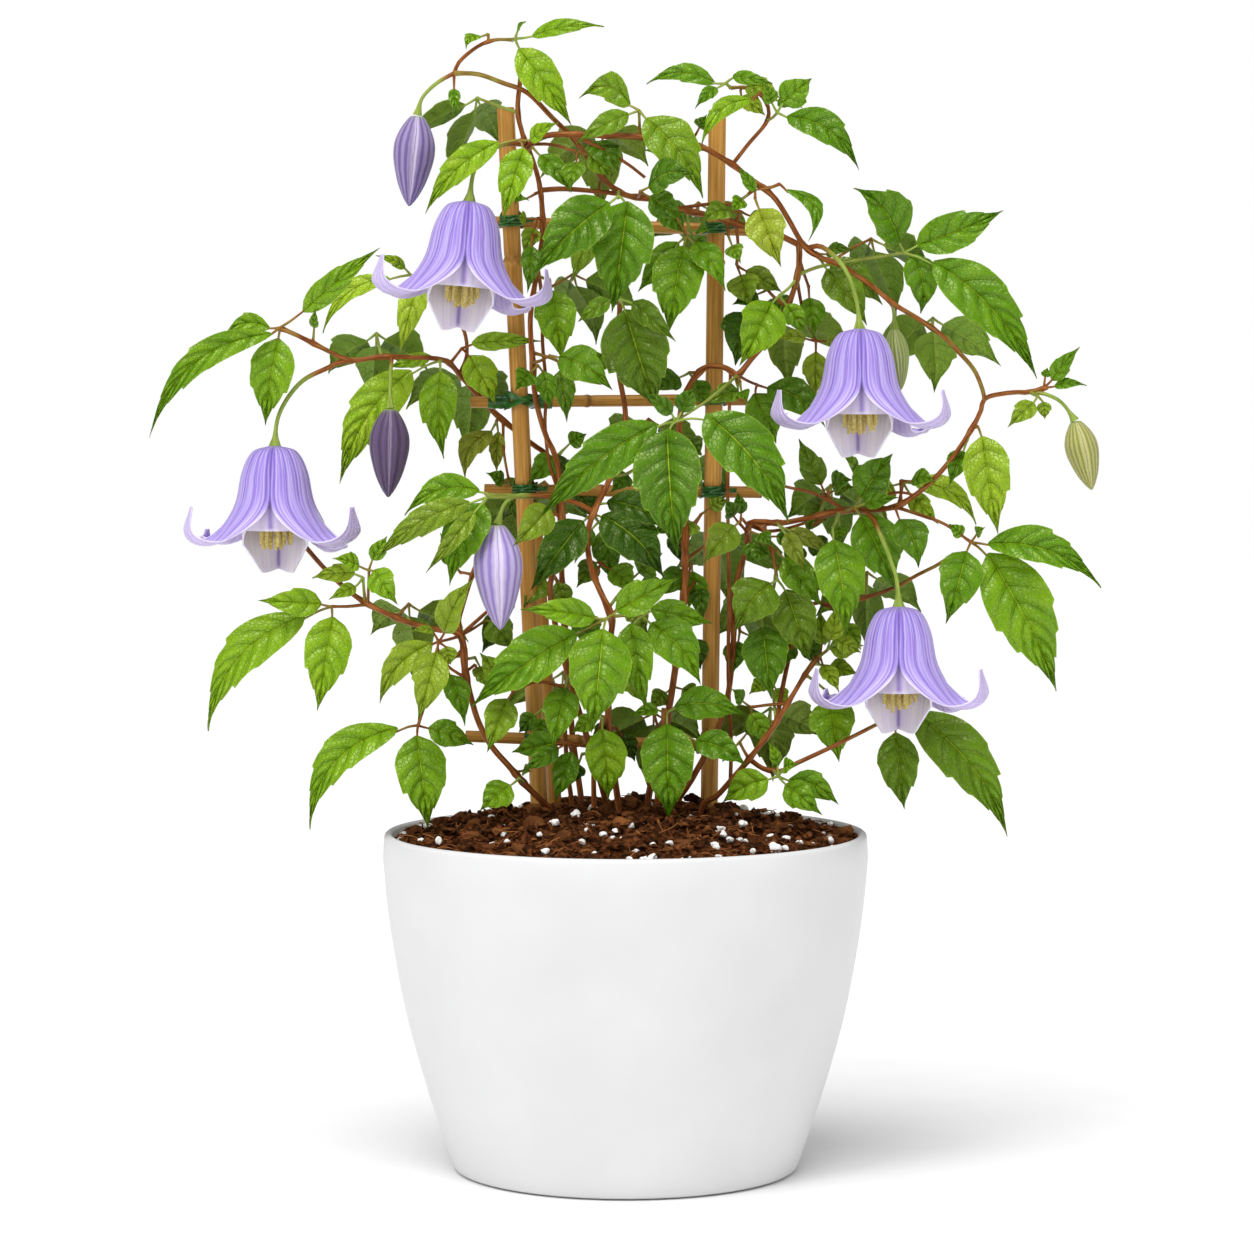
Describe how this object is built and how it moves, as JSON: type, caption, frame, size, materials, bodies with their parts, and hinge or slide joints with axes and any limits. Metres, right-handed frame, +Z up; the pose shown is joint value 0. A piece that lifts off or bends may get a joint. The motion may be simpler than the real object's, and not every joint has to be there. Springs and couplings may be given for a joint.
{
  "type": "potted climbing plant on a trellis",
  "caption": "Bell-flowered clematis in a tapered round pot, climbing a small ladder trellis of bamboo canes, with nodding bells, buds and leafy vines.",
  "frame": {"origin": "middle of the pot's underside, on the ground", "axes": "+Z up along the pot's axis; the front of the plant, with the trellis seen square on, faces -Y; +X to the right seen from the front"},
  "size_m": [0.3871, 0.2, 0.4702],
  "materials": {
    "pot": "satin white, smooth",
    "soil": "loose bark and peat mix with white perlite grains, dull",
    "bamboo": "dry bamboo, lengthwise fibres, slight sheen",
    "tie": "green coated tie wire and tape, slight sheen",
    "leaf": "thin soft leaf blades with sunk veins, slight sheen; stems reddish brown",
    "petal": "soft lavender sepals with darker veins and paler edges",
    "inner": "pale lilac inner cup, soft",
    "stamen": "pale yellow-green, finely hairy",
    "bud": "violet ribbed buds, finely downy",
    "bud_green": "young green ribbed buds, finely downy"
  },
  "bodies": {
    "root": {"pot": "pot", "soil": "soil", "cane_left": "bamboo", "cane_right": "bamboo", "stake_back": "bamboo", "rung_1": "bamboo", "rung_2": "bamboo", "rung_3": "bamboo", "rung_4": "bamboo", "tie_left_1": "tie", "tie_left_2": "tie", "tie_left_3": "tie", "tie_left_4": "tie", "tie_right_1": "tie", "tie_right_2": "tie", "tie_right_3": "tie", "tie_right_4": "tie", "vine_low_left": "leaf", "vine_left_cane": "leaf", "vine_back_left": "leaf", "vine_front": "leaf", "vine_right_cane": "leaf", "vine_right_low": "leaf", "vine_lower_right": "leaf", "vine_crown_right": "leaf", "vine_crown_left": "leaf", "vine_inner_left": "leaf", "bell_1_sepals": "petal", "bell_1_inner": "inner", "bell_1_stamens": "stamen", "bell_2_sepals": "petal", "bell_2_inner": "inner", "bell_2_stamens": "stamen", "bell_3_sepals": "petal", "bell_3_inner": "inner", "bell_3_stamens": "stamen", "bell_4_sepals": "petal", "bell_4_inner": "inner", "bell_4_stamens": "stamen", "bud_1": "bud", "bud_2": "bud", "bud_3": "bud", "bud_4": "bud_green", "bud_5": "bud_green"}
  },
  "joints": []
}
